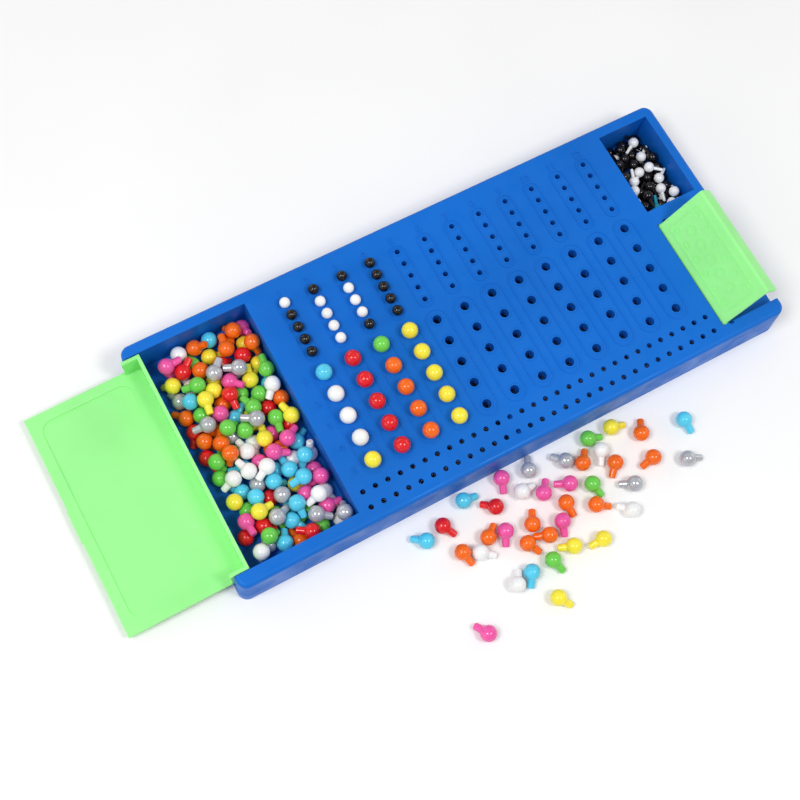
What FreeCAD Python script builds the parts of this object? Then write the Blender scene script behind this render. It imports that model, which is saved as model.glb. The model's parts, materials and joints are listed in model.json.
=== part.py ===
import FreeCAD, Part
import math
import operator
import os
import random

import Sketcher
from FreeCAD import Placement, Rotation, Vector

# Code-breaking peg game: a moulded tray with twelve guess rows, a hinged lid over the peg
# store, a hinged shield over the secret code, pegs in play and spare pegs.
# Frame: millimetres, origin at the middle of the tray's underside, +X along the board towards
# the secret code, +Y towards the row numbers, +Z up.

doc = FreeCAD.newDocument("peg_board_game")

DIMENSIONS = [
    ("board_left", -156.0, "left end of the tray at its base"),
    ("board_right", 156.4, "right end of the tray at its base"),
    ("board_front", -67.6, "front of the tray at its base"),
    ("board_back", 69.0, "back of the tray at its base"),
    ("board_height", 23.0, "tray height"),
    ("draft", 2.2, "draft of the outer walls, degrees"),
    ("corner_radius", 5.0, "upright corners of the tray"),
    ("top_edge_radius", 2.2, "rounding of the deck's outer edge"),
    ("deck", 2.4, "deck thickness"),
    ("wall", 2.0, "inner wall, rib and floor thickness"),
    ("skin", 3.0, "outer wall thickness at the base"),
    ("row_count", 12, "guess rows"),
    ("row_pitch", 16.0, "spacing of the guess rows along X"),
    ("first_row", -71.75, "X of the first guess row"),
    ("holes_per_row", 5, "code holes, and key holes, in a row"),
    ("code_back", 10.4, "Y of the rearmost code hole"),
    ("code_pitch", 12.54, "spacing of the code holes"),
    ("code_hole_radius", 2.35, "code hole"),
    ("code_rim_radius", 3.5, "foot of the raised rim round a code hole"),
    ("code_ring_radius", 5.9, "raised outline round five code holes"),
    ("key_back", 52.1, "Y of the rearmost key hole"),
    ("key_pitch", 7.29, "spacing of the key holes"),
    ("key_hole_radius", 1.4, "key hole"),
    ("key_rim_radius", 2.4, "foot of the raised rim round a key hole"),
    ("key_ring_radius", 4.2, "raised outline round five key holes"),
    ("rim_height", 0.4, "height of a hole's raised rim"),
    ("sleeve_wall", 0.9, "wall of a hole's sleeve under the deck"),
    ("sleeve_length", 4.0, "sleeve below the deck"),
    ("line_width", 0.7, "width of a raised line"),
    ("line_height", 0.3, "height of a raised line"),
    ("score_count", 30, "score holes in a line"),
    ("score_first", -82.9, "X of the first score hole"),
    ("score_pitch", 6.83, "spacing of the score holes"),
    ("score_back", -50.8, "Y of the rear score line"),
    ("score_front", -59.2, "Y of the front score line"),
    ("score_hole_radius", 1.35, "score hole"),
    ("store_right", -89.35, "right wall of the peg store"),
    ("store_front", -59.0, "front wall of the peg store"),
    ("store_back", 61.9, "back wall of the peg store"),
    ("sill_inside", -152.3, "inner face of the low wall at the store's open end"),
    ("sill_height", 5.9, "top of that low wall"),
    ("cup_left", 120.3, "left wall of the key peg cup"),
    ("cup_right", 150.0, "right wall of the key peg cup"),
    ("cup_front", 13.1, "front wall of the key peg cup"),
    ("cup_back", 62.0, "back wall of the key peg cup"),
    ("secret_left", 120.9, "left wall of the secret code bay"),
    ("secret_front", -59.0, "front wall of the secret code bay"),
    ("secret_back", 4.4, "back wall of the secret code bay"),
    ("secret_floor", 13.0, "height of the secret code bay's floor"),
    ("secret_hole_x", 137.0, "X of the five secret code holes"),
    ("secret_hole_back", -2.2, "Y of the rearmost secret code hole"),
    ("lid_hinge_x", -150.3, "X of the lid's hinge axis"),
    ("lid_hinge_z", 14.7, "height of the lid's hinge axis"),
    ("lid_open_angle", 182.0, "how far the lid lies open, degrees"),
    ("lid_front", -58.5, "front edge of the lid"),
    ("lid_back", 61.5, "back edge of the lid"),
    ("lid_reach", 60.2, "hinge axis to the lid's free edge"),
    ("lid_overhang", 3.6, "hinge axis to the outer face of the lid's flange"),
    ("lid_drop", 7.6, "hinge axis to the tip of the lid's flange"),
    ("lid_cheek", 9.9, "length of the lid's cheeks"),
    ("cover_thickness", 1.8, "sheet thickness of lid and shield"),
    ("panel_margin", 5.5, "border round a raised panel"),
    ("panel_step", 0.5, "height of a raised panel"),
    ("panel_radius", 6.0, "corners of a raised panel"),
    ("shield_hinge_x", 123.3, "X of the shield's hinge axis"),
    ("shield_hinge_drop", 1.6, "deck top to the shield's hinge axis, and the knuckle's radius"),
    ("shield_open_angle", 51.0, "how far the shield stands open, degrees"),
    ("shield_front", -58.5, "front edge of the shield"),
    ("shield_back", 3.9, "back edge of the shield"),
    ("shield_reach", 29.45, "hinge axis to the shield's free edge"),
    ("shield_flange", 9.3, "height of the shield's flange"),
    ("cover_edge_radius", 1.5, "outer bend between a cover and its flange"),
    ("pin_radius", 1.1, "hinge pins of lid and shield"),
    ("pin_reach", 2.2, "pin length beyond the cover's end"),
    ("pin_play", 0.05, "radial clearance of a hinge pin"),
    ("socket_depth", 2.6, "depth of a pin's socket in the wall"),
    ("notch_near", 1.4, "shield's hinge axis to the near side of the moulding notch"),
    ("notch_far", 4.0, "shield's hinge axis to the far side of the moulding notch"),
    ("notch_depth", 1.2, "depth of the moulding notch into the wall"),
    ("bead_length", 18.0, "length of the snap bead on the lid's free edge"),
    ("bead_reach", 0.5, "how far the snap bead stands out"),
    ("code_head", 4.15, "radius of a code peg's head"),
    ("code_stem_root", 2.0, "radius of a code peg's stem at the head"),
    ("code_stem_tip", 1.8, "radius of a code peg's stem at its tip"),
    ("code_peg_length", 8.0, "head centre to tip of a code peg"),
    ("code_seat", 3.86, "code peg's head centre above the deck, resting on its rim"),
    ("key_head", 2.75, "radius of a key peg's head"),
    ("key_stem_root", 0.95, "radius of a key peg's stem at the head"),
    ("key_stem_tip", 0.8, "radius of a key peg's stem at its tip"),
    ("key_peg_length", 7.6, "head centre to tip of a key peg"),
    ("key_seat", 2.81, "key peg's head centre above the deck, resting on its rim"),
    ("tip_chamfer", 0.35, "chamfer at a stem's tip"),
    ("spill_middle", 2.0, "X of the middle of the spilt pegs"),
    ("spill_spread", 29.0, "typical distance of a spilt peg from there along X"),
    ("spill_reach", 25.0, "typical distance of a spilt peg from the tray's front"),
]

# Pegs in play, rear hole first.
ROWS_IN_PLAY = 4

# Spare code pegs in the store, by colour, and spare key pegs in the cup.
STORED_CODE = [("red", 21), ("green", 22), ("light_blue", 19), ("pink", 18),
               ("yellow", 15), ("white", 18), ("silver", 18), ("orange", 15)]
STORED_KEY_BELOW = [("black", 44), ("white", 2)]
STORED_KEY_ABOVE = [("white", 11), ("black", 6), ("teal", 1)]

# Code pegs spilt on the table in front of the tray, by colour.
SPILT_CODE = [("orange", 11), ("pink", 6), ("white", 5), ("light_blue", 4), ("silver", 4),
              ("yellow", 4), ("green", 3), ("red", 2)]

PEG_GAP = 0.12          # least gap between neighbouring spare pegs
FLOOR_GAP = 0.02        # spare pegs just clear the floor they lie on
LID_SWEEP = 8.55        # radius that the lid's flange sweeps round its hinge
CHEEK_SWEEP = 10.0      # radius that the lid's cheeks sweep
CHEEK_ZONE = 2.6        # width of the zone at each end that the cheeks sweep
STORE_TOP = 20.3        # spare pegs stay below the closed lid
CUP_TOP = 19.0          # spare key pegs stay below the deck
TRIES = 300             # resting places tried for each spare peg
SHAKES = 300            # small moves tried to lower it further
SHAKE_MOVE = 1.5        # typical small move
SHAKE_TURN = 0.3        # typical small turn, radians
MAX_TILT = 40           # steepest spare peg tried at first, degrees
STEM_BALLS = 6          # balls that stand for a stem when pegs are laid down
SEED = 7
SPILL_SEED = 12


# ---------------------------------------------------------------- spreadsheet

sheet = doc.addObject("Spreadsheet::Sheet", "Dimensions")
for line, (alias, number, meaning) in enumerate(DIMENSIONS, start=1):
    sheet.set(f"A{line}", alias)
    sheet.set(f"B{line}", str(number))
    sheet.set(f"C{line}", meaning)
    sheet.setAlias(f"B{line}", alias)
doc.recompute()

OPERATORS = {"+": operator.add, "-": operator.sub, "*": operator.mul, "/": operator.truediv}


class Measure:
    """A number together with the spreadsheet expression that gives it."""

    def __init__(self, value, text):
        self.value = float(value)
        self.text = text

    def __add__(self, other):
        return combine(self, "+", other)

    def __sub__(self, other):
        return combine(self, "-", other)

    def __mul__(self, other):
        return combine(self, "*", other)

    def __truediv__(self, other):
        return combine(self, "/", other)

    def __neg__(self):
        return combine(0, "-", self)


def measure(thing):
    if isinstance(thing, Measure):
        return thing
    return Measure(thing, str(thing))


def combine(left, sign, right):
    left = measure(left)
    right = measure(right)
    value = OPERATORS[sign](left.value, right.value)
    return Measure(value, f"({left.text} {sign} {right.text})")


def dim(alias):
    """The named cell of the sheet as a Measure."""
    return Measure(sheet.get(alias), f"Dimensions.{alias}")


def mm(alias):
    """The named cell of the sheet as a plain number."""
    return float(sheet.get(alias))


# ---------------------------------------------------------------- modelling helpers

def new_body(label):
    body = doc.addObject("PartDesign::Body", label)
    body.Label = label
    return body


def origin_feature(body, role):
    return next(item for item in body.Origin.OriginFeatures if item.Role == role)


def bind(item, prop, amount):
    item.setExpression(prop, measure(amount).text)


def new_sketch(body, name, height=0, role="XY_Plane"):
    """A sketch on one of the body's own planes, raised by height along its normal."""
    sketch = body.newObject("Sketcher::SketchObject", name)
    sketch.AttachmentSupport = [(origin_feature(body, role), "")]
    sketch.MapMode = "FlatFace"
    bind(sketch, "AttachmentOffset.Base.z", height)
    return sketch


def pin_point(sketch, geometry, point, x, y):
    """Hold one point of a sketch at X, Y."""
    for kind, amount in (("DistanceX", x), ("DistanceY", y)):
        amount = measure(amount)
        constraint = Sketcher.Constraint(kind, -1, 1, geometry, point, amount.value)
        index = sketch.addConstraint(constraint)
        bind(sketch, f"Constraints[{index}]", amount)


def add_rectangle(sketch, left, right, front, back):
    x = [measure(left).value, measure(right).value]
    y = [measure(front).value, measure(back).value]
    corners = [Vector(x[0], y[0], 0), Vector(x[1], y[0], 0),
               Vector(x[1], y[1], 0), Vector(x[0], y[1], 0)]
    first = sketch.GeometryCount
    for side in range(4):
        line = Part.LineSegment(corners[side], corners[(side + 1) % 4])
        sketch.addGeometry(line, False)
    for side in range(4):
        joint = Sketcher.Constraint("Coincident", first + side, 2, first + (side + 1) % 4, 1)
        sketch.addConstraint(joint)
        direction = "Vertical" if side % 2 else "Horizontal"
        sketch.addConstraint(Sketcher.Constraint(direction, first + side))
    pin_point(sketch, first, 1, left, front)
    pin_point(sketch, first + 2, 1, right, back)


def add_circle(sketch, x, y, radius):
    circle = Part.Circle(Vector(measure(x).value, measure(y).value, 0), Vector(0, 0, 1),
                         measure(radius).value)
    index = sketch.addGeometry(circle, False)
    pin_point(sketch, index, 3, x, y)
    limit = sketch.addConstraint(Sketcher.Constraint("Radius", index, measure(radius).value))
    bind(sketch, f"Constraints[{limit}]", radius)


def add_stadium(sketch, x, front, back, radius):
    """Two half circles joined by straight sides along Y."""
    middle = measure(x).value
    reach = measure(radius).value
    low = Vector(middle, measure(front).value, 0)
    high = Vector(middle, measure(back).value, 0)
    side = Vector(reach, 0, 0)
    up = Vector(0, 0, 1)
    far_arc = sketch.addGeometry(Part.ArcOfCircle(Part.Circle(high, up, reach), 0, math.pi), False)
    left = sketch.addGeometry(Part.LineSegment(high - side, low - side), False)
    near = Part.ArcOfCircle(Part.Circle(low, up, reach), math.pi, 2 * math.pi)
    near_arc = sketch.addGeometry(near, False)
    right = sketch.addGeometry(Part.LineSegment(low + side, high + side), False)
    loop = [far_arc, left, near_arc, right]
    for here, following in zip(loop, loop[1:] + loop[:1]):
        sketch.addConstraint(Sketcher.Constraint("Tangent", here, 2, following, 1))
    pin_point(sketch, far_arc, 3, x, back)
    pin_point(sketch, near_arc, 3, x, front)
    limit = sketch.addConstraint(Sketcher.Constraint("Radius", far_arc, reach))
    bind(sketch, f"Constraints[{limit}]", radius)


def require_change(name, before, after, sign):
    """A pad has to add material and a pocket has to remove some."""
    if (after - before) * sign <= 0:
        raise RuntimeError(f"{name} changed nothing")


def pad(body, name, sketch, length, taper=None, backwards=False):
    before = body.Shape.Volume if body.Tip else 0.0
    feature = body.newObject("PartDesign::Pad", name)
    feature.Profile = sketch
    feature.Reversed = backwards
    bind(feature, "Length", length)
    if taper is not None:
        bind(feature, "TaperAngle", taper)
    doc.recompute()
    require_change(name, before, feature.Shape.Volume, 1)
    return feature


def pocket(body, name, sketch, depth, taper=None, backwards=False):
    before = body.Shape.Volume
    feature = body.newObject("PartDesign::Pocket", name)
    feature.Profile = sketch
    feature.Reversed = backwards
    bind(feature, "Length", depth)
    if taper is not None:
        bind(feature, "TaperAngle", taper)
    doc.recompute()
    require_change(name, before, feature.Shape.Volume, -1)
    return feature


def repeat_along_x(body, name, feature, pitch, count):
    pattern = body.newObject("PartDesign::LinearPattern", name)
    pattern.Originals = [feature]
    pattern.Direction = (origin_feature(body, "X_Axis"), [""])
    bind(pattern, "Length", pitch * (count - 1))
    bind(pattern, "Occurrences", count)
    body.Tip = pattern
    doc.recompute()
    return pattern


def fillet(body, name, radius, wanted):
    """Round every edge of the body for which wanted(edge) holds."""
    base = body.Tip
    names = [f"Edge{number}" for number, edge in enumerate(base.Shape.Edges, start=1)
             if wanted(edge)]
    feature = body.newObject("PartDesign::Fillet", name)
    feature.Base = (base, names)
    bind(feature, "Radius", radius)
    doc.recompute()
    return feature


def is_upright(edge):
    """True for an edge that climbs more than it runs sideways."""
    box = edge.BoundBox
    return box.ZLength > 4 * max(box.XLength, box.YLength)


# ---------------------------------------------------------------- tray

def row_x(row):
    """X of guess row number row, counted from 0."""
    return dim("first_row") + dim("row_pitch") * row


def hole_y(kind, hole):
    """Y of a row's code or key hole number hole, counted from 0 at the back."""
    return dim(f"{kind}_back") - dim(f"{kind}_pitch") * hole


def tray_outline(tray):
    height = mm("board_height")
    sketch = new_sketch(tray, "outline_sketch")
    add_rectangle(sketch, dim("board_left"), dim("board_right"),
                  dim("board_front"), dim("board_back"))
    pad(tray, "outline", sketch, dim("board_height"), taper=-dim("draft"))
    fillet(tray, "upright_corners", dim("corner_radius"), is_upright)
    fillet(tray, "deck_edge", dim("top_edge_radius"),
           lambda edge: edge.BoundBox.ZMin > height - 0.01)


def tray_underside(tray):
    """Open cells under the deck, parted by two ribs that cross, and under the secret code bay."""
    skin = dim("skin")
    wall = dim("wall")
    front = dim("board_front") + skin
    back = dim("board_back") - skin
    left = dim("store_right") + wall
    right = dim("cup_left") - wall
    rib_x = row_x(4) + dim("row_pitch") / 2
    rib_y = hole_y("code", 0) - dim("code_pitch") / 2
    sketch = new_sketch(tray, "deck_cells_sketch")
    for cell_left, cell_right in ((left, rib_x - wall / 2), (rib_x + wall / 2, right)):
        for cell_front, cell_back in ((front, rib_y - wall / 2), (rib_y + wall / 2, back)):
            add_rectangle(sketch, cell_left, cell_right, cell_front, cell_back)
    beside_lid_pin = dim("lid_hinge_x") + dim("pin_reach") * 2
    add_rectangle(sketch, beside_lid_pin, dim("store_right") - wall,
                  front, dim("store_front") - wall)
    beside_shield_pin = dim("shield_hinge_x") + dim("pin_reach") * 2
    inside_right_end = dim("cup_right") - wall
    add_rectangle(sketch, beside_shield_pin, inside_right_end,
                  front, dim("secret_front") - wall)
    add_rectangle(sketch, beside_shield_pin, inside_right_end,
                  dim("secret_back") + wall, dim("cup_front") - wall)
    pocket(tray, "deck_cells", sketch, dim("board_height") - dim("deck"), backwards=True)
    sketch = new_sketch(tray, "bay_cell_sketch")
    add_rectangle(sketch, right + wall, dim("board_right") - skin,
                  front, dim("cup_front") - wall)
    pocket(tray, "bay_cell", sketch, dim("secret_floor") - wall, backwards=True)


def tray_hollows(tray):
    """The peg store with its open end, the key peg cup and the secret code bay."""
    top = dim("board_height")
    sill_inside = dim("sill_inside")
    sketch = new_sketch(tray, "store_sketch", top)
    add_rectangle(sketch, sill_inside, dim("store_right"), dim("store_front"), dim("store_back"))
    add_rectangle(sketch, dim("cup_left"), dim("cup_right"), dim("cup_front"), dim("cup_back"))
    pocket(tray, "store_and_cup", sketch, top - dim("wall"))
    sketch = new_sketch(tray, "open_end_sketch", top)
    add_rectangle(sketch, dim("board_left") - 1, sill_inside + 1,
                  dim("store_front"), dim("store_back"))
    pocket(tray, "open_end", sketch, top - dim("sill_height"))
    sketch = new_sketch(tray, "secret_bay_sketch", top)
    add_rectangle(sketch, dim("secret_left"), dim("board_right") + 1,
                  dim("secret_front"), dim("secret_back"))
    pocket(tray, "secret_bay", sketch, top - dim("secret_floor"))


def tray_sleeves(tray):
    """Short tubes under the deck that guide the stems of the pegs."""
    for kind in ("code", "key"):
        radius = dim(f"{kind}_hole_radius") + dim("sleeve_wall")
        bottom = dim("board_height") - dim("deck") - dim("sleeve_length")
        sketch = new_sketch(tray, f"{kind}_sleeve_sketch", bottom)
        for hole in range(int(mm("holes_per_row"))):
            add_circle(sketch, row_x(0), hole_y(kind, hole), radius)
        sleeves = pad(tray, f"{kind}_sleeve", sketch, dim("sleeve_length") + 0.5)
        repeat_along_x(tray, f"{kind}_sleeves", sleeves, dim("row_pitch"), dim("row_count"))


def tray_row_outlines(tray):
    """A raised line round the five code holes and the five key holes of each row."""
    last = int(mm("holes_per_row")) - 1
    for kind in ("code", "key"):
        outer = dim(f"{kind}_ring_radius")
        sketch = new_sketch(tray, f"{kind}_outline_sketch", dim("board_height"))
        for radius in (outer, outer - dim("line_width")):
            add_stadium(sketch, row_x(0), hole_y(kind, last), hole_y(kind, 0), radius)
        line = pad(tray, f"{kind}_outline", sketch, dim("line_height"))
        repeat_along_x(tray, f"{kind}_outlines", line, dim("row_pitch"), dim("row_count"))


def tray_row_rims(tray):
    """A raised rim round each code and key hole, for the peg's head to rest on."""
    for kind in ("code", "key"):
        sketch = new_sketch(tray, f"{kind}_rim_sketch", dim("board_height"))
        for hole in range(int(mm("holes_per_row"))):
            add_circle(sketch, row_x(0), hole_y(kind, hole), dim(f"{kind}_rim_radius"))
        rims = pad(tray, f"{kind}_rim", sketch, dim("rim_height"), taper=-45)
        repeat_along_x(tray, f"{kind}_rims", rims, dim("row_pitch"), dim("row_count"))


def tray_row_holes(tray):
    depth = dim("rim_height") + dim("deck") + dim("sleeve_length")
    for kind in ("code", "key"):
        sketch = new_sketch(tray, f"{kind}_hole_sketch", dim("board_height") + dim("rim_height"))
        for hole in range(int(mm("holes_per_row"))):
            add_circle(sketch, row_x(0), hole_y(kind, hole), dim(f"{kind}_hole_radius"))
        holes = pocket(tray, f"{kind}_hole", sketch, depth + 1)
        repeat_along_x(tray, f"{kind}_holes", holes, dim("row_pitch"), dim("row_count"))


def tray_score_holes(tray):
    sketch = new_sketch(tray, "score_sketch", dim("board_height"))
    for line in ("back", "front"):
        add_circle(sketch, dim("score_first"), dim(f"score_{line}"), dim("score_hole_radius"))
    first = pocket(tray, "score_pair", sketch, dim("deck") + 1)
    repeat_along_x(tray, "score_holes", first, dim("score_pitch"), dim("score_count"))


def tray_secret_holes(tray):
    """Five code holes in the floor of the secret code bay."""
    sketch = new_sketch(tray, "secret_holes_sketch", dim("secret_floor"))
    for hole in range(int(mm("holes_per_row"))):
        y = dim("secret_hole_back") - dim("code_pitch") * hole
        add_circle(sketch, dim("secret_hole_x"), y, dim("code_hole_radius"))
    pocket(tray, "secret_holes", sketch, dim("wall") + 1)


def tray_pin_sockets(tray):
    """Blind round sockets for the pins of the lid and the shield, and the moulding notches."""
    radius = dim("pin_radius") + dim("pin_play")
    shield_z = dim("board_height") - dim("shield_hinge_drop")
    pins = [("lid", dim("lid_hinge_x"), dim("lid_hinge_z"),
             dim("store_front"), dim("store_back")),
            ("shield", dim("shield_hinge_x"), shield_z,
             dim("secret_front"), dim("secret_back"))]
    for name, x, z, front, back in pins:
        for side, face, towards_back in (("front", front, False), ("back", back, True)):
            sketch = new_sketch(tray, f"{name}_{side}_socket_sketch", -face, "XZ_Plane")
            add_circle(sketch, x, z, radius)
            pocket(tray, f"{name}_{side}_socket", sketch, dim("socket_depth"),
                   backwards=not towards_back)
    sketch = new_sketch(tray, "moulding_notch_sketch", dim("board_height"))
    near = dim("shield_hinge_x") + dim("notch_near")
    far = dim("shield_hinge_x") + dim("notch_far")
    add_rectangle(sketch, near, far, dim("secret_front") - dim("notch_depth"),
                  dim("secret_front") + 0.2)
    add_rectangle(sketch, near, far, dim("secret_back") - 0.2,
                  dim("secret_back") + dim("notch_depth"))
    pocket(tray, "moulding_notches", sketch, dim("shield_hinge_drop") * 2)


def build_tray():
    tray = new_body("board_tray")
    tray_outline(tray)
    tray_underside(tray)
    tray_hollows(tray)
    tray_sleeves(tray)
    tray_row_outlines(tray)
    tray_row_rims(tray)
    tray_row_holes(tray)
    tray_score_holes(tray)
    tray_secret_holes(tray)
    tray_pin_sockets(tray)
    return tray


# ---------------------------------------------------------------- lid and shield

def hinge_pins(body, front, back):
    """A pin out of each end of a cover, on the body's own Y axis."""
    for side, face, towards_back in (("front", front, False), ("back", back, True)):
        inward = -0.5 if towards_back else 0.5
        sketch = new_sketch(body, f"{side}_pin_sketch", -(face + inward), "XZ_Plane")
        add_circle(sketch, 0, 0, dim("pin_radius"))
        pad(body, f"{side}_pin", sketch, dim("pin_reach") + 0.5, backwards=towards_back)


def place_on_hinge(body, x, z, angle):
    """Turn a cover, modelled closed about its hinge axis, up and to its open place."""
    body.Placement = Placement(Vector(x.value, 0, z.value), Rotation(Vector(0, -1, 0), angle.value))
    bind(body, "Placement.Base.x", x)
    bind(body, "Placement.Base.z", z)
    bind(body, "Placement.Rotation.Angle", angle)


def build_lid():
    """Flat lid with a flange that closes the store's open end and a cheek at each side."""
    lid = new_body("store_lid")
    sheet_thickness = dim("cover_thickness")
    top = dim("board_height") - dim("lid_hinge_z")
    front = dim("lid_front")
    back = dim("lid_back")
    outer = -dim("lid_overhang")
    tip = -dim("lid_drop")
    sketch = new_sketch(lid, "plate_sketch", top - sheet_thickness)
    add_rectangle(sketch, outer, dim("lid_reach"), front, back)
    pad(lid, "plate", sketch, sheet_thickness)
    sketch = new_sketch(lid, "flange_sketch", tip)
    add_rectangle(sketch, outer, outer + sheet_thickness, front, back)
    pad(lid, "flange", sketch, top - tip)
    for side, low, high in (("front", front, front + sheet_thickness),
                            ("back", back - sheet_thickness, back)):
        sketch = new_sketch(lid, f"{side}_cheek_sketch", tip)
        add_rectangle(sketch, outer, outer + dim("lid_cheek"), low, high)
        pad(lid, f"{side}_cheek", sketch, top - tip)
    bend_x = outer.value
    fillet(lid, "bend", dim("cover_edge_radius"),
           lambda edge: edge.BoundBox.XMax < bend_x + 0.01
           and edge.BoundBox.ZMin > top.value - 0.01)
    middle = (front + back) / 2
    sketch = new_sketch(lid, "snap_bead_sketch", top - sheet_thickness * 0.75)
    add_rectangle(sketch, dim("lid_reach") - 0.5, dim("lid_reach") + dim("bead_reach"),
                  middle - dim("bead_length") / 2, middle + dim("bead_length") / 2)
    pad(lid, "snap_bead", sketch, sheet_thickness / 2)
    margin = dim("panel_margin")
    step = dim("panel_step")
    for name, height, grow in (("panel", top, 0), ("panel_back", top - sheet_thickness, 1)):
        sketch = new_sketch(lid, f"{name}_sketch", height)
        add_rectangle(sketch, outer + margin + dim("lid_cheek") / 2, dim("lid_reach") - margin,
                      front + margin, back - margin)
        if grow:
            pocket(lid, name, sketch, step, backwards=True)
        else:
            pad(lid, name, sketch, step)
    fillet(lid, "panel_corners", dim("panel_radius"),
           lambda edge: is_upright(edge) and abs(edge.Length - step.value) < 0.01)
    hinge_pins(lid, front, back)
    place_on_hinge(lid, dim("lid_hinge_x"), dim("lid_hinge_z"), dim("lid_open_angle"))
    return lid


def shield_emblem(shield, top, length_middle):
    """A raised frame with rings in three lines, in place of wording."""
    margin = dim("panel_margin") * 0.75
    line = dim("line_width")
    left = margin - 0.5
    right = dim("shield_reach") - margin - 1.2
    front = dim("shield_front") + margin
    back = dim("shield_back") - margin
    sketch = new_sketch(shield, "frame_sketch", top)
    add_rectangle(sketch, left, right, front, back)
    add_rectangle(sketch, left + line, right - line, front + line, back - line)
    pad(shield, "frame", sketch, dim("line_height"))
    fillet(shield, "frame_corners", line * 3,
           lambda edge: is_upright(edge) and abs(edge.Length - mm("line_height")) < 0.01)
    centre = (left + right) / 2
    rows = [(-6.6, 6, 1.9), (0, 5, 2.9), (6.6, 6, 1.9)]
    sketch = new_sketch(shield, "rings_sketch", top)
    for across, count, radius in rows:
        for place in range(count):
            along = length_middle + (place - (count - 1) / 2) * 9.0
            add_circle(sketch, centre + across, along, radius)
            add_circle(sketch, centre + across, along, radius - 0.7)
    pad(shield, "rings", sketch, dim("line_height"))


def build_shield():
    """Shield over the secret code: plate, round hinge knuckle and end flange."""
    shield = new_body("code_shield")
    sheet_thickness = dim("cover_thickness")
    top = dim("shield_hinge_drop")
    front = dim("shield_front")
    back = dim("shield_back")
    reach = dim("shield_reach")
    sketch = new_sketch(shield, "plate_sketch", top - sheet_thickness)
    add_rectangle(sketch, 0, reach, front, back)
    pad(shield, "plate", sketch, sheet_thickness)
    sketch = new_sketch(shield, "knuckle_sketch", -back, "XZ_Plane")
    add_circle(sketch, 0, 0, dim("shield_hinge_drop"))
    pad(shield, "knuckle", sketch, back - front)
    sketch = new_sketch(shield, "flange_sketch", top - dim("shield_flange"))
    add_rectangle(sketch, reach - sheet_thickness, reach, front, back)
    pad(shield, "flange", sketch, dim("shield_flange"))
    fillet(shield, "bend", dim("cover_edge_radius"),
           lambda edge: edge.BoundBox.XMin > reach.value - 0.01
           and edge.BoundBox.ZMin > top.value - 0.01)
    shield_emblem(shield, top, (front + back) / 2)
    hinge_pins(shield, front, back)
    place_on_hinge(shield, dim("shield_hinge_x"),
                   dim("board_height") - dim("shield_hinge_drop"), dim("shield_open_angle"))
    return shield


# ---------------------------------------------------------------- pegs

def build_peg(kind, label):
    """Ball-headed peg with a tapered stem, its head centred on the body's origin."""
    peg = new_body(label)
    head = dim(f"{kind}_head")
    root = dim(f"{kind}_stem_root")
    tip = dim(f"{kind}_stem_tip")
    length = dim(f"{kind}_peg_length")
    chamfer = dim("tip_chamfer")
    root_depth = math.sqrt(head.value ** 2 - root.value ** 2)
    points = [Vector(root.value, -root_depth, 0),
              Vector(tip.value, chamfer.value - length.value, 0),
              Vector(tip.value - chamfer.value, -length.value, 0),
              Vector(0, -length.value, 0), Vector(0, head.value, 0)]
    sketch = new_sketch(peg, f"{label}_profile", 0, "XZ_Plane")
    for start, end in zip(points, points[1:]):
        sketch.addGeometry(Part.LineSegment(start, end), False)
    start_angle = -math.acos(root.value / head.value)
    ball = Part.Circle(Vector(0, 0, 0), Vector(0, 0, 1), head.value)
    sketch.addGeometry(Part.ArcOfCircle(ball, start_angle, math.pi / 2), False)
    for joint in ((0, 2, 1, 1), (1, 2, 2, 1), (2, 2, 3, 1), (3, 2, 4, 2), (4, 1, 0, 1)):
        sketch.addConstraint(Sketcher.Constraint("Coincident", *joint))
    pin_point(sketch, 4, 3, 0, 0)
    pin_point(sketch, 1, 1, tip, chamfer - length)
    pin_point(sketch, 2, 1, tip - chamfer, -length)
    pin_point(sketch, 3, 1, 0, -length)
    radius = sketch.addConstraint(Sketcher.Constraint("Radius", 4, head.value))
    bind(sketch, f"Constraints[{radius}]", head)
    across = sketch.addConstraint(Sketcher.Constraint("DistanceX", -1, 1, 0, 1, root.value))
    bind(sketch, f"Constraints[{across}]", root)
    sketch.addConstraint(Sketcher.Constraint("PointOnObject", 4, 2, -2))
    turned = peg.newObject("PartDesign::Revolution", f"{label}_turned")
    turned.Profile = sketch
    turned.ReferenceAxis = (sketch, ["V_Axis"])
    turned.Angle = 360
    return peg


def build_pegs_in_play():
    """Guess and key pegs of the first rows, each seated in its own hole."""
    pegs = []
    for kind in ("code", "key"):
        for row in range(ROWS_IN_PLAY):
            for hole in range(int(mm("holes_per_row"))):
                peg = build_peg(kind, f"{kind}_peg_row{row + 1}_hole{hole + 1}")
                bind(peg, "Placement.Base.x", row_x(row))
                bind(peg, "Placement.Base.y", hole_y(kind, hole))
                bind(peg, "Placement.Base.z", dim("board_height") + dim(f"{kind}_seat"))
                pegs.append(peg)
    return pegs


# ---------------------------------------------------------------- spare pegs

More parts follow.
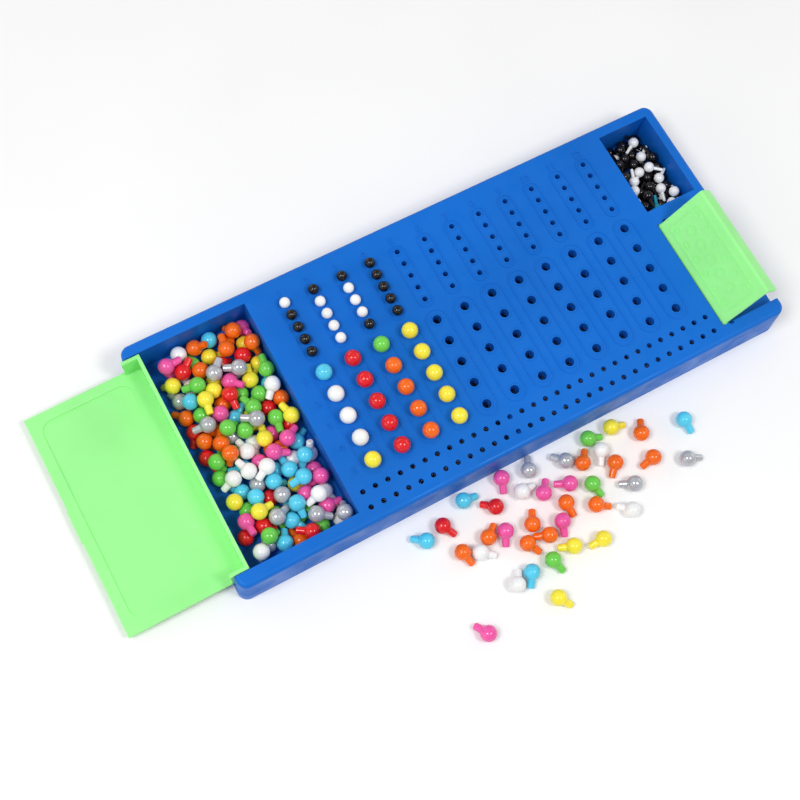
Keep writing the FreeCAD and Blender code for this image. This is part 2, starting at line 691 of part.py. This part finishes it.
class LoosePeg:
    """A peg lying anywhere, as a chain of balls along its axis."""

    def __init__(self, kind, colour, x, y, heading, tilt):
        self.kind = kind
        self.colour = colour
        self.place = [x, y, 0.0]
        self.heading = heading
        self.tilt = tilt
        level = math.cos(tilt)
        self.axis = (level * math.cos(heading), level * math.sin(heading), math.sin(tilt))

    def balls(self):
        """Centre and radius of each ball."""
        x, y, z = self.place
        return [(x + reach * self.axis[0], y + reach * self.axis[1],
                 z + reach * self.axis[2], radius)
                for reach, radius in CHAINS[self.kind]]

    def middle_height(self):
        """Height of a point between head and stem, to judge how deep the peg lies."""
        return self.place[2] + 0.25 * mm(f"{self.kind}_peg_length") * self.axis[2]

    def shaken(self, dice):
        """The same peg moved and turned a little."""
        return LoosePeg(self.kind, self.colour,
                        self.place[0] + dice.gauss(0, SHAKE_MOVE),
                        self.place[1] + dice.gauss(0, SHAKE_MOVE),
                        self.heading + dice.gauss(0, SHAKE_TURN),
                        self.tilt + dice.gauss(0, SHAKE_TURN))

    def rotation(self):
        """Turns a stem that points down, as modelled, along the axis."""
        return Rotation(Vector(0, 0, -1), Vector(*self.axis))


def ball_chain(kind):
    """Offset from the head along the stem, and radius, of each ball that fills a peg."""
    head = mm(f"{kind}_head")
    root = mm(f"{kind}_stem_root")
    tip = mm(f"{kind}_stem_tip")
    start = math.sqrt(head ** 2 - root ** 2) + 0.4 * root
    end = mm(f"{kind}_peg_length") - 0.8 * tip
    balls = [(0.0, head)]
    for step in range(STEM_BALLS):
        share = step / (STEM_BALLS - 1)
        balls.append((start + (end - start) * share, root + (tip - root) * share))
    balls[-1] = (end, 1.15 * tip)
    return balls


CHAINS = {kind: ball_chain(kind) for kind in ("code", "key")}


class Pile:
    """Balls of the pegs already at rest, sorted into square cells."""

    def __init__(self, cell_size):
        self.cell_size = cell_size
        self.cells = {}

    def cell(self, x, y):
        return int(x // self.cell_size), int(y // self.cell_size)

    def add(self, peg):
        for ball in peg.balls():
            self.cells.setdefault(self.cell(ball[0], ball[1]), []).append(ball)

    def near(self, x, y):
        """Balls in the cell that holds X, Y and in the cells round it."""
        column, line = self.cell(x, y)
        return [ball for across in (-1, 0, 1) for along in (-1, 0, 1)
                for ball in self.cells.get((column + across, line + along), ())]


def lower_onto(peg, floor, pile):
    """Set the peg down: the lowest place at which it clears the floor and the pile."""
    height = -math.inf
    for x, y, offset, radius in peg.balls():
        height = max(height, floor + FLOOR_GAP + radius - offset)
        for other_x, other_y, other_z, other_radius in pile.near(x, y):
            reach = radius + other_radius + PEG_GAP
            across = (x - other_x) ** 2 + (y - other_y) ** 2
            if across < reach ** 2:
                height = max(height, other_z + math.sqrt(reach ** 2 - across) - offset)
    peg.place[2] = height


def fits(peg, bounds, top, clear_of_lid):
    """True when the peg lies within the walls, below top and out of the lid's way."""
    left, right, front, back = bounds
    for x, y, z, radius in peg.balls():
        room = radius + PEG_GAP
        if not (left + room < x < right - room and front + room < y < back - room):
            return False
        if z + radius > top:
            return False
        if clear_of_lid:
            near_end = min(y - front, back - y) < room + CHEEK_ZONE
            sweep = CHEEK_SWEEP if near_end else LID_SWEEP
            if math.hypot(x - mm("lid_hinge_x"), z - mm("lid_hinge_z")) < sweep + radius:
                return False
    return True


def shuffled(colours, dice):
    """The colours of single pegs in random order."""
    order = [colour for colour, count in colours for _ in range(count)]
    dice.shuffle(order)
    return order


def heap(kind, order, bounds, floor, top, clear_of_lid, dice):
    """Pegs dropped one after another, each into the lowest place found, then shaken down."""
    pile = Pile(2 * mm(f"{kind}_head") + PEG_GAP)
    left, right, front, back = bounds
    settled = []
    for colour in order:
        best = None
        for attempt in range(TRIES + SHAKES):
            if attempt < TRIES:
                x = dice.uniform(left, right)
                y = dice.uniform(front, back)
                heading = dice.uniform(0, 2 * math.pi)
                tilt = math.radians(dice.uniform(-MAX_TILT, MAX_TILT))
                peg = LoosePeg(kind, colour, x, y, heading, tilt)
            elif best:
                peg = best.shaken(dice)
            else:
                break
            lower_onto(peg, floor, pile)
            better = best is None or peg.middle_height() < best.middle_height()
            if better and fits(peg, bounds, top, clear_of_lid):
                best = peg
        if best:
            pile.add(best)
            settled.append(best)
    return settled


def stands_clear(peg, wall, pile):
    """True when the peg lies in front of the wall and keeps its gap from the pile."""
    for x, y, z, radius in peg.balls():
        if y + radius > wall:
            return False
        for other_x, other_y, other_z, other_radius in pile.near(x, y):
            gap = math.dist((x, y, z), (other_x, other_y, other_z))
            if gap < radius + other_radius + PEG_GAP:
                return False
    return True


def spill(dice):
    """Pegs scattered on the table, closer together towards the tray and the middle."""
    lean = math.asin((mm("code_head") - mm("code_stem_tip")) / mm("code_peg_length"))
    wall = mm("board_front") - PEG_GAP
    pile = Pile(2 * mm("code_head") + PEG_GAP)
    settled = []
    for colour in shuffled(SPILT_CODE, dice):
        for _ in range(TRIES):
            x = dice.gauss(mm("spill_middle"), mm("spill_spread"))
            y = wall - abs(dice.gauss(0, mm("spill_reach")))
            peg = LoosePeg("code", colour, x, y, dice.uniform(0, 2 * math.pi), -lean)
            peg.place[2] = mm("code_head") + FLOOR_GAP
            if stands_clear(peg, wall, pile):
                pile.add(peg)
                settled.append(peg)
                break
    return settled


def build_spare_pegs(patterns):
    """One node for each kind and colour of spare peg, a group of separate solids."""
    dice = random.Random(SEED)
    store = (mm("sill_inside"), mm("store_right"), mm("store_front"), mm("store_back"))
    cup = (mm("cup_left"), mm("cup_right"), mm("cup_front"), mm("cup_back"))
    floor = mm("wall")
    code_order = shuffled(STORED_CODE, dice)
    code_pegs = heap("code", code_order, store, floor, STORE_TOP, True, dice)
    code_pegs += spill(random.Random(SPILL_SEED))
    key_order = shuffled(STORED_KEY_BELOW, dice) + shuffled(STORED_KEY_ABOVE, dice)
    key_pegs = heap("key", key_order, cup, floor, CUP_TOP, False, dice)
    for name, pegs in (("store", code_pegs), ("cup", key_pegs)):
        tops = [z + radius for peg in pegs for x, y, z, radius in peg.balls()]
        print(f"{name}: {len(pegs)} pegs, highest {max(tops):.2f}")
    groups = []
    for kind, pegs in (("code", code_pegs), ("key", key_pegs)):
        for colour in sorted({peg.colour for peg in pegs}):
            solids = []
            for peg in pegs:
                if peg.colour == colour:
                    solid = patterns[kind].copy()
                    solid.Placement = Placement(Vector(*peg.place), peg.rotation())
                    solids.append(solid)
            group = doc.addObject("Part::Feature", f"spare_{kind}_pegs_{colour}")
            group.Label = f"spare_{kind}_pegs_{colour}"
            group.Shape = Part.makeCompound(solids)
            groups.append(group)
    return groups


# ---------------------------------------------------------------- build and export

def peg_pattern(peg):
    """A peg's solid with its head centre at the origin."""
    shape = peg.Shape.Solids[0].copy()
    shape.Placement = Placement()
    return shape


def check_and_export(parts):
    for item in doc.Objects:
        if "Invalid" in item.State or "Error" in item.State:
            raise RuntimeError(f"{item.Label} failed: {item.State}")
    for part in parts:
        if part.Shape.isNull() or not part.Shape.isValid():
            raise RuntimeError(f"{part.Label} has no valid shape")
    os.makedirs("parts", exist_ok=True)
    for part in parts:
        part.Shape.exportStep(f"parts/{part.Label}.step")
        box = part.Shape.BoundBox
        print(f"{part.Label}: {len(part.Shape.Solids)} solids, {part.Shape.Volume:.0f} mm3, "
              f"X {box.XMin:.1f}..{box.XMax:.1f} Y {box.YMin:.1f}..{box.YMax:.1f} "
              f"Z {box.ZMin:.1f}..{box.ZMax:.1f}")


def main():
    tray = build_tray()
    covers = [build_lid(), build_shield()]
    pegs = build_pegs_in_play()
    doc.recompute()
    patterns = {}
    for kind in ("code", "key"):
        seated = next(peg for peg in pegs if peg.Label.startswith(kind))
        patterns[kind] = peg_pattern(seated)
    spares = build_spare_pegs(patterns)
    doc.recompute()
    check_and_export([tray] + covers + pegs + spares)


main()
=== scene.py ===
import json
import math

import bmesh
import bpy
from mathutils import Euler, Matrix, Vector


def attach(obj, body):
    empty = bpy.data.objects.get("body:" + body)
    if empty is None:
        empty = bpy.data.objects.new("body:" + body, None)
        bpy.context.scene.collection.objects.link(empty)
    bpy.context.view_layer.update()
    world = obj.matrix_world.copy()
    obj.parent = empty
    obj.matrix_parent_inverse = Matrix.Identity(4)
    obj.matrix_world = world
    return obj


# Looks for the peg game: glossy moulded plastics on the CAD nodes, raised numerals on the deck,
# a pale table, soft studio light and the camera. Lengths are in metres in the CAD's frame, unless
# a comment says millimetres. Angles are in degrees.

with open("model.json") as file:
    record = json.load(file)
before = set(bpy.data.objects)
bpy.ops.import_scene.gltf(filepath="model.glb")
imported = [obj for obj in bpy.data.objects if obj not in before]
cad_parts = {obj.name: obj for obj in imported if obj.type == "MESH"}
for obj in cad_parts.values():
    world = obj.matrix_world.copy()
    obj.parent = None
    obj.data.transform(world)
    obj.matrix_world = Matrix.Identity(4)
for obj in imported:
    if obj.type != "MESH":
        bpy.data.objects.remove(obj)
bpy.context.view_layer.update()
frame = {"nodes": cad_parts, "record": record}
nodes = frame["nodes"]

MM = 0.001

# Camera: stands in front of the peg store and looks down on the board. Lens and sensor are in
# millimetres.
CAMERA_PLACE = (-0.186, -0.184, 0.637)
CAMERA_TURN = (19.10, -4.10, -28.78)
CAMERA_LENS = 59.9
CAMERA_SENSOR = 36.0
CAMERA_NEAR = 0.01

# Light: brightness of the room, then the soft boxes with their power in watts. Each box's size is
# its width and height, and FRONT_LIFT raises the front ones by a fraction of their distance.
ROOM_LIGHT = 0.38
FRONT_DISTANCE = 1.3
FRONT_LIFT = 0.05
LEFT_ANGLE = -20
LEFT_SIZE = (0.42, 0.42)
LEFT_POWER = 6.8
RIGHT_ANGLE = 30
RIGHT_SIZE = (0.30, 0.36)
RIGHT_POWER = 5.3
SIDE_ANGLES = {"right_side": 0, "back_side": 105, "left_side": 180}
SIDE_SIZE = (1.0, 0.45)
SIDE_POWER = 1.8
SIDE_DISTANCE = 1.15
SIDE_HEIGHT = 0.45

# Table: half the side of its top, and its surface.
TABLE_HALF_WIDTH = 3.0
TABLE_ROUGHNESS = 0.5
TABLE_CLOUD_SCALE = 6.0
TABLE_CLOUD_DETAIL = 2.0
TABLE_GREYS = (0.90, 0.93)

# Deck layout, in millimetres.
ROW_COUNT = 12
FIRST_ROW_X = -71.75
ROW_PITCH = 16.0
HOLES_PER_ROW = 5
CODE_BACK_Y = 10.4
CODE_PITCH = 12.54
DECK_TOP = 23.0
ROW_NUMERAL_Y = 58.6
HOLE_NUMERAL_X = -81.6

# Raised numerals, in millimetres: size of the figures, lift of their middle above the deck, half
# of their height, bevel, and thickening of the strokes.
ROW_NUMERAL_SIZE = 5.6
HOLE_NUMERAL_SIZE = 5.2
NUMERAL_LIFT = 0.12
NUMERAL_HALF_HEIGHT = 0.13
NUMERAL_BEVEL = 0.05
NUMERAL_SPREAD = 0.06

# Plastic: what all of it shares. GLOW_DEPTH is in millimetres, and the wear noise is WEAR_FINENESS
# times finer than the clouds. The rest is given for each material below.
PLASTIC_IOR = 1.46
GLOW_DEPTH = 1.5
CLOUD_SHADES = (0.93, 1.05)
CLOUD_DETAIL = 3.0
WEAR_SPREAD = (0.8, 1.35)
WEAR_FINENESS = 6
WEAR_DETAIL = 6.0
GRAIN_STRENGTH = 0.35
GRAIN_DETAIL = 4.0
NOISE_ROUGHNESS = 0.55
RAMP_START = 0.35
RAMP_END = 0.65

# Surface colours, linear.
COLOURS = {
    "tray": (0.005, 0.135, 0.580),
    "cover": (0.335, 0.890, 0.300),
    "red": (0.760, 0.013, 0.018),
    "orange": (0.920, 0.150, 0.006),
    "yellow": (0.930, 0.800, 0.050),
    "green": (0.160, 0.640, 0.080),
    "light_blue": (0.095, 0.610, 0.840),
    "pink": (0.860, 0.100, 0.380),
    "white": (0.900, 0.900, 0.900),
    "silver": (0.520, 0.530, 0.570),
    "black": (0.006, 0.004, 0.004),
    "teal": (0.010, 0.300, 0.420),
}


# ---------------------------------------------------------------- materials

def add_node(tree, kind, **values):
    """A shader node with its inputs set by name."""
    node = tree.nodes.new(kind)
    for name, value in values.items():
        node.inputs[name.replace("_", " ")].default_value = value
    return node


def noise_ramp(tree, scale, detail, low, high):
    """Noise on the object's own coordinates, spread between two grey levels or colours."""
    place = tree.nodes.new("ShaderNodeTexCoord")
    noise = add_node(tree, "ShaderNodeTexNoise", Scale=scale, Detail=detail,
                     Roughness=NOISE_ROUGHNESS)
    ramp = tree.nodes.new("ShaderNodeValToRGB")
    ramp.color_ramp.elements[0].position = RAMP_START
    ramp.color_ramp.elements[1].position = RAMP_END
    ramp.color_ramp.elements[0].color = low
    ramp.color_ramp.elements[1].color = high
    tree.links.new(place.outputs["Object"], noise.inputs["Vector"])
    tree.links.new(noise.outputs["Fac"], ramp.inputs["Fac"])
    return ramp, noise


def grey(level):
    """A linear grey with full alpha."""
    return (level, level, level, 1.0)


def shade(colour, factor):
    """A colour made darker or lighter by a factor, with full alpha."""
    return tuple(min(1.0, part * factor) for part in colour) + (1.0,)


def moulded_plastic(name, colour, gloss, cloud_scale, grain_scale, grain_height, glow=0.0,
                    shine=0.4, metal=0.0, reflection=(1.0, 1.0, 1.0)):
    """Moulded plastic: faint cloudy colour, uneven gloss, and a fine moulded skin.

    Gloss is the roughness that the wear is spread about, the scales are those of the noise,
    grain_height is the depth of the skin in millimetres, and reflection tints the highlights.
    """
    material = bpy.data.materials.new(name)
    material.use_nodes = True
    tree = material.node_tree
    surface = tree.nodes["Principled BSDF"]
    surface.inputs["IOR"].default_value = PLASTIC_IOR
    surface.inputs["Specular IOR Level"].default_value = shine
    surface.inputs["Specular Tint"].default_value = (*reflection, 1.0)
    surface.inputs["Metallic"].default_value = metal
    if glow:
        surface.inputs["Subsurface Weight"].default_value = glow
        surface.inputs["Subsurface Radius"].default_value = colour
        surface.inputs["Subsurface Scale"].default_value = GLOW_DEPTH * MM
    dark, light = CLOUD_SHADES
    tint, _ = noise_ramp(tree, cloud_scale, CLOUD_DETAIL,
                         shade(colour, dark), shade(colour, light))
    tree.links.new(tint.outputs["Color"], surface.inputs["Base Color"])
    smooth, rough = WEAR_SPREAD
    wear, _ = noise_ramp(tree, cloud_scale * WEAR_FINENESS, WEAR_DETAIL,
                         grey(gloss * smooth), grey(gloss * rough))
    tree.links.new(wear.outputs["Color"], surface.inputs["Roughness"])
    _, grain = noise_ramp(tree, grain_scale, GRAIN_DETAIL, grey(0), grey(1))
    bump = add_node(tree, "ShaderNodeBump", Strength=GRAIN_STRENGTH, Distance=grain_height * MM)
    tree.links.new(grain.outputs["Fac"], bump.inputs["Height"])
    tree.links.new(bump.outputs["Normal"], surface.inputs["Normal"])
    return material


def floor_material():
    """Pale table top with a satin finish and faint clouds."""
    material = bpy.data.materials.new("pale_table")
    material.use_nodes = True
    tree = material.node_tree
    surface = tree.nodes["Principled BSDF"]
    surface.inputs["Roughness"].default_value = TABLE_ROUGHNESS
    dark, light = TABLE_GREYS
    tint, _ = noise_ramp(tree, TABLE_CLOUD_SCALE, TABLE_CLOUD_DETAIL, grey(dark), grey(light))
    tree.links.new(tint.outputs["Color"], surface.inputs["Base Color"])
    return material


def paint(node, material):
    """Give a CAD node one material on every slot."""
    slots = node.data.materials
    if not slots:
        slots.append(material)
    for index in range(len(slots)):
        slots[index] = material


def peg_plastic(colour_name):
    """Glossy peg plastic: pearly for silver, and faintly translucent except in silver and black."""
    glow = 0.0 if colour_name in ("black", "silver") else 0.15
    metal = 0.3 if colour_name == "silver" else 0.0
    return moulded_plastic(f"peg_{colour_name}", COLOURS[colour_name], gloss=0.16,
                           cloud_scale=90, grain_scale=1600, grain_height=0.015, glow=glow,
                           shine=0.6, metal=metal)


MATERIALS = {
    "tray": moulded_plastic("tray_plastic", COLOURS["tray"], gloss=0.44, cloud_scale=14,
                            grain_scale=900, grain_height=0.03, shine=0.55,
                            reflection=(0.30, 0.66, 1.0)),
    "cover": moulded_plastic("cover_plastic", COLOURS["cover"], gloss=0.42, cloud_scale=16,
                             grain_scale=1100, grain_height=0.03, glow=0.25,
                             reflection=(0.50, 1.0, 0.45)),
}
for peg_colour in COLOURS:
    if peg_colour not in MATERIALS:
        MATERIALS[peg_colour] = peg_plastic(peg_colour)


def paint_cad_nodes():
    """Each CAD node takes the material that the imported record's slot names."""
    for entry in frame["record"]["subparts"]:
        slot = entry["material_slot"]
        key = slot.replace("_plastic", "").replace("peg_", "")
        paint(nodes[entry["node"]], MATERIALS[key])


# ---------------------------------------------------------------- raised numerals

def numeral(text, x, y, size):
    """A number as a raised mesh on the deck, centred on x, y. All sizes are in millimetres."""
    font = bpy.data.curves.new(f"numeral_{text}", "FONT")
    font.body = text
    font.size = size * MM
    font.align_x = "CENTER"
    font.align_y = "CENTER"
    font.extrude = NUMERAL_HALF_HEIGHT * MM
    font.bevel_depth = NUMERAL_BEVEL * MM
    font.bevel_resolution = 1
    font.offset = NUMERAL_SPREAD * MM
    font.resolution_u = 4
    maker = bpy.data.objects.new(f"numeral_{text}", font)
    bpy.context.scene.collection.objects.link(maker)
    maker.location = (x * MM, y * MM, (DECK_TOP + NUMERAL_LIFT) * MM)
    bpy.context.view_layer.update()
    mesh = bpy.data.meshes.new_from_object(maker)
    mesh.transform(maker.matrix_world)
    bpy.data.objects.remove(maker)
    return mesh


def join_meshes(name, meshes):
    """One object in the scene that holds all the meshes."""
    work = bmesh.new()
    for mesh in meshes:
        work.from_mesh(mesh)
    whole = bpy.data.meshes.new(name)
    work.to_mesh(whole)
    work.free()
    piece = bpy.data.objects.new(name, whole)
    bpy.context.scene.collection.objects.link(piece)
    return piece


def build_numerals():
    """Row numbers along the back edge and hole numbers beside the first row."""
    rows = [numeral(str(row + 1), FIRST_ROW_X + ROW_PITCH * row, ROW_NUMERAL_Y, ROW_NUMERAL_SIZE)
            for row in range(ROW_COUNT)]
    holes = [numeral(str(hole + 1), HOLE_NUMERAL_X, CODE_BACK_Y - CODE_PITCH * hole,
                     HOLE_NUMERAL_SIZE)
             for hole in range(HOLES_PER_ROW)]
    for name, meshes in (("row_numbers", rows), ("hole_numbers", holes)):
        piece = join_meshes(name, meshes)
        piece.data.materials.append(MATERIALS["tray"])
        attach(piece, "tray")


# ---------------------------------------------------------------- stage

def build_floor():
    """The table that the game lies on."""
    mesh = bpy.data.meshes.new("table")
    half = TABLE_HALF_WIDTH
    corners = [(-half, -half, 0), (half, -half, 0), (half, half, 0), (-half, half, 0)]
    mesh.from_pydata(corners, [], [(0, 1, 2, 3)])
    mesh.materials.append(floor_material())
    table = bpy.data.objects.new("table", mesh)
    bpy.context.scene.collection.objects.link(table)


def soft_light(name, place, size, power):
    """A rectangular light that points at the origin."""
    light = bpy.data.lights.new(name, "AREA")
    light.shape = "RECTANGLE"
    light.size, light.size_y = size
    light.energy = power
    holder = bpy.data.objects.new(name, light)
    holder.location = place
    aim = Vector((0, 0, 0)) - Vector(place)
    holder.rotation_euler = aim.to_track_quat("-Z", "Y").to_euler()
    bpy.context.scene.collection.objects.link(holder)


def beside_camera(angle):
    """A place turned by angle from the camera's line of sight to its side."""
    turn = Euler([math.radians(part) for part in CAMERA_TURN]).to_matrix()
    side, up, back = turn.col[0], turn.col[1], turn.col[2]
    swing = math.radians(angle)
    aim = back * math.cos(swing) + side * math.sin(swing) + up * FRONT_LIFT
    return aim.normalized() * FRONT_DISTANCE


def build_lights():
    """Two soft boxes beside the camera, three low ones at the sides and back, a dim pale room."""
    world = bpy.data.worlds.new("studio")
    world.use_nodes = True
    sky = world.node_tree.nodes["Background"]
    sky.inputs["Color"].default_value = (1.0, 1.0, 1.0, 1.0)
    sky.inputs["Strength"].default_value = ROOM_LIGHT
    bpy.context.scene.world = world
    soft_light("left_box", beside_camera(LEFT_ANGLE), LEFT_SIZE, LEFT_POWER)
    soft_light("right_box", beside_camera(RIGHT_ANGLE), RIGHT_SIZE, RIGHT_POWER)
    for name, angle in SIDE_ANGLES.items():
        swing = math.radians(angle)
        place = (SIDE_DISTANCE * math.cos(swing), SIDE_DISTANCE * math.sin(swing), SIDE_HEIGHT)
        soft_light(name, place, SIDE_SIZE, SIDE_POWER)


def build_camera():
    """A camera that looks down on the board."""
    camera = bpy.data.cameras.new("camera")
    camera.lens = CAMERA_LENS
    camera.sensor_width = CAMERA_SENSOR
    camera.clip_start = CAMERA_NEAR
    holder = bpy.data.objects.new("camera", camera)
    holder.location = CAMERA_PLACE
    holder.rotation_euler = Euler([math.radians(angle) for angle in CAMERA_TURN])
    bpy.context.scene.collection.objects.link(holder)
    bpy.context.scene.camera = holder


bpy.context.scene.view_settings.view_transform = "Standard"
build_camera()
build_lights()
build_floor()
paint_cad_nodes()
build_numerals()
